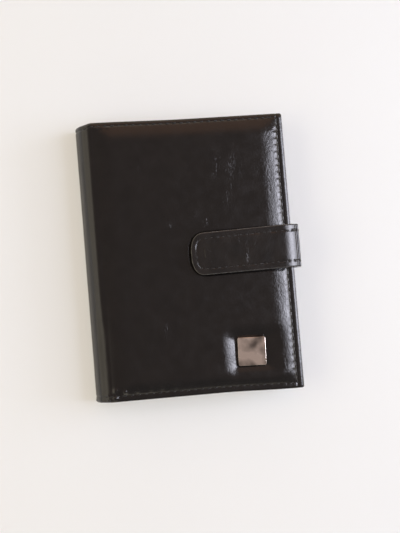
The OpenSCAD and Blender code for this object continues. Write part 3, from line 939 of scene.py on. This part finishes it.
seam_s, seam_v = tab_ring(TAB_SEAM, MID_WEB + 0.2, ROUND_S, True)
upper_line = np.stack([seam_s, seam_v + TAB_Y + skew(seam_s, seam_v)], -1)
tab_high_thread = thread("tab_upper_thread", tab_run, [upper_line], tab_seam_height,
                         pitch=3.0, length=2.3, r=0.24, lift=0.06)
tab_high_under = thread("tab_upper_inner_thread", tab_run, [upper_line], tab_seam_under,
                        pitch=3.0, length=2.3, r=0.24, way=-1, lift=0.05)
edge_v = TAB_HALF - TAB_SEAM
low_y = [TAB_Y + w * edge_v + skew(0, w * edge_v) for w in (1, -1)]
low_lines = [[(10.5, y), (MID_WEB - 0.1, y)] for y in low_y]
tab_low_thread = thread("tab_lower_thread", tab_run, low_lines, tab_seam_height,
                        pitch=3.0, length=2.3, r=0.26)


# Plate

CORNER_STEPS = 7
RING_N = 4 * CORNER_STEPS


def plate_ring(inset, z):
    """Outline of the plate with round corners, at one inset and height."""
    half, r = PLATE_W / 2 - inset, max(0.7 - inset, 0.12)
    pts = []
    for cx, cy, a0 in ((1, 1, 0), (-1, 1, 90), (-1, -1, 180), (1, -1, 270)):
        for a in np.radians(np.linspace(a0, a0 + 90, CORNER_STEPS)):
            pts.append((cx * (half - r) + r * math.cos(a), cy * (half - r) + r * math.sin(a), z))
    return pts


# Inset and height of each ring, from the foot of the plate over its rim to its middle.
PLATE_RINGS = ((0.0, 13.8), (0.0, 15.95), (0.03, 16.08), (0.1, 16.17), (0.2, 16.2), (0.25, 16.2),
               (0.54, 16.2), (0.56, 15.90), (0.6, 15.90), (1.3, 15.90), (2.6, 15.93), (4.2, 15.98),
               (5.8, 16.02), (6.9, 16.03))
# The rim's inner band lies between these rings and is shaded flat, so that its corners stay sharp.
SHARP = (5, 8)
TILT = math.radians(-1.7)
plate_points = np.array([p for inset, z in PLATE_RINGS for p in plate_ring(inset, z)])
px, py = plate_points[:, 0].copy(), plate_points[:, 1].copy()
plate_points[:, 0] = PLATE[0] + px * math.cos(TILT) - py * math.sin(TILT)
plate_points[:, 1] = PLATE[1] + px * math.sin(TILT) + py * math.cos(TILT)
plate_faces = [tuple(f) for f in quads(len(PLATE_RINGS), RING_N, closed=True)[:, ::-1]]
plate_faces.append(tuple(range((len(PLATE_RINGS) - 1) * RING_N, len(PLATE_RINGS) * RING_N)))
plate = mesh_piece("badge_plate_face", plate_points, plate_faces, [nickel])
for face in plate.data.polygons[SHARP[0] * RING_N:SHARP[1] * RING_N]:
    face.use_smooth = False


# Riding, and the CAD parts that the dressed pieces stand in for, hidden

# Where the upper fold's bend ends on the spine face, in degrees round the fold's centre.
FACE_SIDE = 152


def arc_ends(centre, radius, a0, a1):
    """Start and end of a fold: the chord of its outer bend, moved to its centre, in metres."""
    c = np.array([centre[0], 0, centre[1]])
    p = [c + radius * np.array([math.cos(a), 0, math.sin(a)]) for a in np.radians([a0, a1])]
    d = (p[1] - p[0]) / np.linalg.norm(p[1] - p[0])
    return [tuple(float(n) for n in (c + d * np.dot(q - c, d)) * MM) for q in p]


up_start, up_end = arc_ends((front_run.at(FOLD_S)[0].item(), SEAM_Z - UP_R), UP_R, FACE_SIDE, 90)

for piece in (front, front_thread, front_in, front_in_thread):
    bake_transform(piece)
for piece in (back, back_thread, back_in, back_in_thread):
    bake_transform(piece)
for piece in (tab_low, tab_low_thread):
    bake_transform(piece)
for piece in (tab_high, tab_high_thread, tab_high_under):
    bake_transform(piece)
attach(plate, "front_cover")

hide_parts("front_leather", "front_foam")
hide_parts("back_leather", "spine_leather")
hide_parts("front_lining", "spine_lining")
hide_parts("back_lining")
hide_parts("tab_anchor", "tab_side_leather", "tab_side_lining")
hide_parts("tab_flap_leather", "tab_flap_lining")
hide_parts("badge_plate")

for mat, nodes in ((grey_board, ("back_board", "front_board", "spine_stay", "tab_flap_stiffener")),
                   (steel, ("badge_backing", "snap_stud", "snap_post", "snap_socket", "snap_cap"))):
    for node in nodes:
        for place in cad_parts[node].material_slots:
            place.material = mat

# Floor, light and camera, in metres but for the floor's points

TABLE = (0.868, 0.900, 0.914)
TABLE_LIGHT = (0.878, 0.910, 0.924)
# Share and colour of the table's own brightness, by which it stays pale and keeps a light shadow.
GLOW_SHARE = 0.4
GLOW = (0.89, 0.85, 0.77, 1)
FLOOR_HALF, FLOOR_Z = 4000, -0.1

floor_mat, floor_shader = material("pale_table", TABLE, 0.55)
table = Graph(floor_mat, floor_shader, "Object")
table.out(Base_Color=table.ramp(table.noise(60, 3), (0.3, TABLE), (0.7, TABLE_LIGHT)))
path = table.add("ShaderNodeLightPath")
seen = table.math("MAXIMUM", path.outputs["Is Camera Ray"], path.outputs["Is Glossy Ray"])
seen = table.math("MAXIMUM", seen, path.outputs["Is Transmission Ray"])
glow = table.add("ShaderNodeEmission")
glow.inputs["Color"].default_value = GLOW
both = table.add("ShaderNodeMixShader")
table.link(table.math("MULTIPLY", seen, GLOW_SHARE), both.inputs["Fac"])
table.link(floor_shader.outputs["BSDF"], both.inputs[1])
table.link(glow.outputs["Emission"], both.inputs[2])
table.link(both.outputs["Shader"], floor_mat.node_tree.nodes["Material Output"].inputs["Surface"])
floor_points = [(FLOOR_HALF * a, FLOOR_HALF * b, FLOOR_Z) for a, b in ((-1, -1), (1, -1), (1, 1), (-1, 1))]
floor = mesh_piece("floor", floor_points, [(0, 1, 2, 3)], [floor_mat])

world = bpy.data.worlds.new("room")
bpy.context.scene.world = world
world.use_nodes = True
room = Graph(world, world.node_tree.nodes["Background"], "Generated")
split = room.add("ShaderNodeSeparateXYZ")
room.link(room.space, split.inputs[0])
to_right, to_far, to_top = (split.outputs[axis] for axis in "XYZ")
# Bright near the horizon, dim overhead.
sky = room.ramp(to_top, (0.0, (1.33, 1.21, 1.00)), (0.32, (1.23, 1.11, 0.91)), (0.56, (0.46, 0.40, 0.37)),
                (0.80, (0.333, 0.277, 0.255)))
above_horizon = room.remap(to_top, 0.15, 0.42, 0.0, 1.0, "SMOOTHSTEP")
# A warm, narrow wall on the far side, fading in with the direction and out to both sides.
far_wall = room.remap(to_far, 0.24, 0.62, 0.0, 0.85, "SMOOTHSTEP")
aside = room.math("ABSOLUTE", room.math("SUBTRACT", to_right, 0.08), 0.0)
far_wall = room.math("MULTIPLY", far_wall, room.remap(aside, 0.24, 0.42, 1.0, 0.0, "SMOOTHSTEP"))
sky = room.mix(room.math("MULTIPLY", far_wall, above_horizon), sky, (0.92, 0.56, 0.40))
# The near side is dim.
near_side = room.remap(to_far, -0.6, -0.15, 0.6, 0.0, "SMOOTHSTEP")
sky = room.mix(room.math("MULTIPLY", near_side, above_horizon), sky, (0.16, 0.165, 0.17))
room.out(Color=sky)
room.shader.inputs["Strength"].default_value = 1.0

LAMP_FAR = 1.5
WINDOW_W, WINDOW_TINT = 0.62, (0.91, 0.92, 1.05)
DAY_COOL, DAY_WARM = (0.84, 0.93, 1.22), (1.05, 0.92, 0.66)


def panel(name, direction, wide, tall, radiance, colour):
    """A soft panel that faces the wallet; radiance is its brightness, 1 for white."""
    lamp = bpy.data.lights.new(name, "AREA")
    lamp.shape = "RECTANGLE"
    lamp.size, lamp.size_y = wide, tall
    lamp.energy = radiance * math.pi * wide * tall
    lamp.color = colour
    obj = bpy.data.objects.new(name, lamp)
    bpy.context.scene.collection.objects.link(obj)
    d = np.array(direction, float) / np.linalg.norm(direction)
    obj.location = d * LAMP_FAR
    side = np.cross((0, 0, 1), d)
    side /= np.linalg.norm(side)
    up = np.cross(d, side)
    turned_to = mathutils.Matrix(np.stack([side, up, d], -1).tolist()).to_4x4()
    obj.matrix_world = mathutils.Matrix.Translation(obj.location) @ turned_to
    return obj


# A tall window on the right, brighter towards its foot: angles from the zenith and brightness of each band.
# It shows in gloss only.
for band, (high, low, radiance) in enumerate(((21, 28, 2.2), (28, 36, 6.5), (36, 50, 15.0), (50, 66, 7.5))):
    middle, half = math.radians((high + low) / 2), math.radians((low - high) / 2)
    direction = (math.sin(middle), 0.09 * math.sin(middle), math.cos(middle))
    tall = 2 * LAMP_FAR * math.tan(half)
    panel("window_%d" % band, direction, WINDOW_W, tall, radiance, WINDOW_TINT).visible_diffuse = False
# The room's light on dull surfaces, softer than the window: sideways and upward parts of each direction.
for name, across, up, wide, tall, radiance, colour in (
        ("day_right", 0.77, 0.64, 1.0, 0.7, 4.2, DAY_COOL),
        ("day_foot", 0.95, 0.30, 0.9, 0.4, 12.0, DAY_COOL),
        ("day_left", -0.82, 0.57, 1.2, 0.8, 2.6, DAY_WARM)):
    panel(name, (across, 0.05, up), wide, tall, radiance, colour).visible_glossy = False

# The camera fitted to the photo's straight edges; its focal length is in pixels of the photo.
FOCAL_PX, PHOTO_H, SENSOR = 800, 533, 36
view = bpy.data.cameras.new("camera")
view.sensor_width = SENSOR
view.lens = FOCAL_PX / PHOTO_H * SENSOR
view.clip_start = 0.01
camera = bpy.data.objects.new("camera", view)
bpy.context.scene.collection.objects.link(camera)
camera.location = (-0.02944, -0.02395, 0.41585)
camera.rotation_euler = [math.radians(a) for a in (2.961, -4.641, -4.587)]
bpy.context.scene.camera = camera
bpy.context.scene.view_settings.view_transform = "Standard"

bpy.context.view_layer.update()
